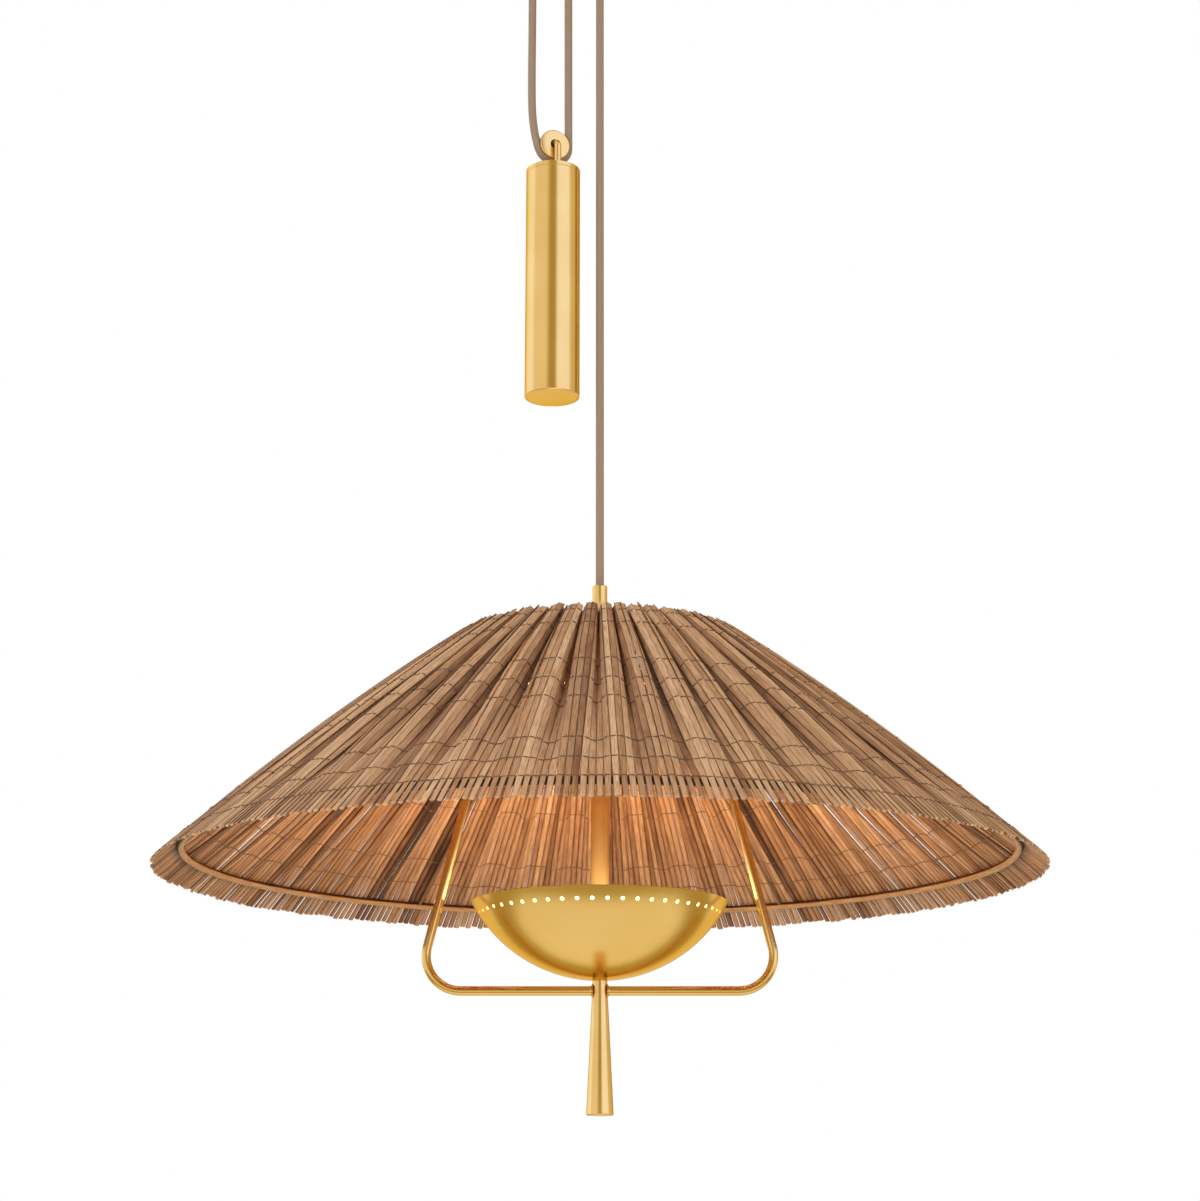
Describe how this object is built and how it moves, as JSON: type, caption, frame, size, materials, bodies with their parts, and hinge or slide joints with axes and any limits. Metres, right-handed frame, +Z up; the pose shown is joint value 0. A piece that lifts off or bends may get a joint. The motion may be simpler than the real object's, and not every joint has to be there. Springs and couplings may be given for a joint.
{
  "type": "rise and fall pendant",
  "caption": "Rise and fall pendant: pleated slat shade over a brass bowl light with a pull handle, on a cord run over pulleys to a cylindrical counterweight.",
  "frame": {"origin": "on the ceiling, midway between the two ceiling screws, on the axis that the lamp hangs on", "axes": "+Z up, along the lamp's axis; +Y away from the viewer of the picture, along the strap; +X to the right, the counterweight hangs on the -X side"},
  "size_m": [0.7648, 0.7661, 1.123],
  "materials": {
    "satin_brass": "satin brushed brass",
    "spun_brass": "thin spun brass, satin",
    "core_metal": "dense ballast",
    "plain_steel": "zinc plated",
    "frame_wire": "brown painted wire",
    "cane": "split cane, taupe brown",
    "hoop_cane": "round cane",
    "thread": "dark brown twisted thread",
    "cord": "taupe braided cover",
    "nylon": "black nylon",
    "driver_case": "white moulded",
    "terminal": "natural moulded",
    "lead_pair": "wire insulation",
    "flex": "round flex",
    "heat_metal": "plain sheet",
    "board": "white solder mask",
    "opal": "opal, satin top"
  },
  "bodies": {
    "ceiling": {"mounting_strap": "plain_steel", "canopy_studs": "plain_steel", "canopy": "satin_brass", "canopy_nuts": "satin_brass", "load_plate": "plain_steel", "cord_grip": "satin_brass", "grip_nut": "plain_steel", "ceiling_yoke": "satin_brass", "ceiling_yoke_nuts": "plain_steel", "led_driver": "driver_case", "terminal_block": "terminal", "supply_leads": "lead_pair", "cord_tail": "cord", "cord_anchor_run": "cord", "cord_return_run": "cord", "cord_ceiling_wrap": "cord", "cord_lamp_run": "cord"},
    "ceiling_pulley": {"ceiling_sheave": "satin_brass", "ceiling_bush": "nylon"},
    "weight": {"weight_yoke": "satin_brass", "weight_yoke_nuts": "plain_steel", "weight_cap": "satin_brass", "weight_tube": "satin_brass", "weight_core": "core_metal", "weight_base": "satin_brass", "cord_weight_wrap": "cord"},
    "weight_pulley": {"weight_sheave": "satin_brass", "weight_bush": "nylon"},
    "lamp": {"gland": "satin_brass", "gland_screw": "plain_steel", "stem_cable": "flex", "shade_spider": "frame_wire", "top_ring": "frame_wire", "shade_ribs": "frame_wire", "rim_hoop": "hoop_cane", "slat_mat": "cane", "rim_stitches": "thread", "stem_tube": "satin_brass", "stem_top_bush": "plain_steel", "stem_foot_bush": "plain_steel", "bail_left": "satin_brass", "bail_right": "satin_brass", "heat_spreader": "heat_metal", "led_board": "board", "diffuser": "opal", "bowl_spacer": "plain_steel", "bowl": "spun_brass", "nipple": "plain_steel", "handle": "satin_brass"}
  },
  "joints": [
    {"name": "lamp_rise", "type": "slide", "parent": "ceiling", "child": "lamp", "axis": [0, 0, 1], "range_m": [-0.27, 0.12], "deforming": ["cord_lamp_run"]},
    {"name": "weight_travel", "type": "slide", "parent": "ceiling", "child": "weight", "axis": [0, 0, 1], "range_m": [-0.06, 0.135], "deforming": ["cord_anchor_run", "cord_return_run"]},
    {"name": "ceiling_pulley_spin", "type": "hinge", "parent": "ceiling", "child": "ceiling_pulley", "pos_m": [-0.015, 0, -0.058], "axis": [0, 1, 0], "continuous": true},
    {"name": "weight_pulley_spin", "type": "hinge", "parent": "weight", "child": "weight_pulley", "pos_m": [-0.0435, 0, -0.236], "axis": [-0.342, 0.9397, 0], "continuous": true}
  ],
  "couplings": [
    {"joint": "weight_travel", "follows": "lamp_rise", "ratio": -0.5},
    {"joint": "ceiling_pulley_spin", "follows": "lamp_rise", "rad_per_m": -66.667},
    {"joint": "weight_pulley_spin", "follows": "lamp_rise", "rad_per_m": 33.333}
  ]
}
